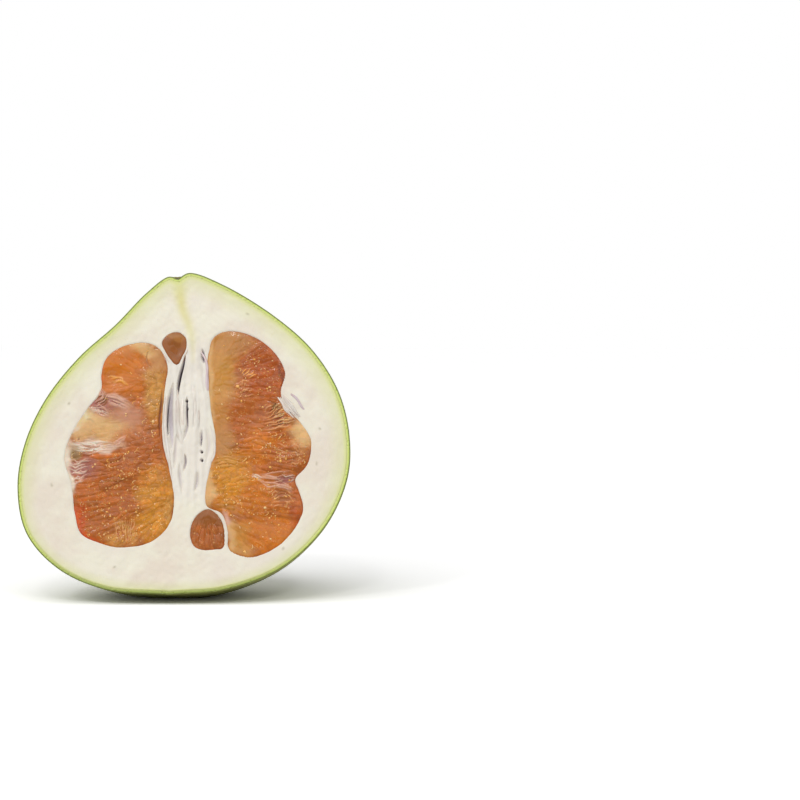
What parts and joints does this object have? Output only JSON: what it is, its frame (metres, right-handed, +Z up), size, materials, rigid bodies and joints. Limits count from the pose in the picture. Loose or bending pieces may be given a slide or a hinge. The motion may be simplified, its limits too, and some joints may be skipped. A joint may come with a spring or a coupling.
{
  "type": "half pomelo",
  "caption": "Half of a pomelo cut lengthwise, leaning back on its green rind, with thick white pith, a fibrous core and orange pulp.",
  "frame": {"origin": "on the surface that the half rests on, under the middle of its bounding box", "axes": "+Z up; the cut face looks towards -Y and leans back 10.5 degrees; +X to the right as seen from in front of the cut face"},
  "size_m": [0.153, 0.0876, 0.1517],
  "materials": {
    "rind": "waxy yellow-green citrus skin with fine oil-gland pores",
    "pith": "matt, spongy, creamy white with a lemon-green edge under the skin",
    "pulp": "wet, translucent orange juice sacs",
    "pulp_tip": "wet, smooth brown-orange pulp under a thin membrane"
  },
  "bodies": {
    "root": {"rind": "rind", "pith": "pith", "segment_left": "pulp", "segment_right": "pulp", "segment_tip_upper": "pulp_tip", "segment_tip_lower": "pulp_tip"}
  },
  "joints": []
}
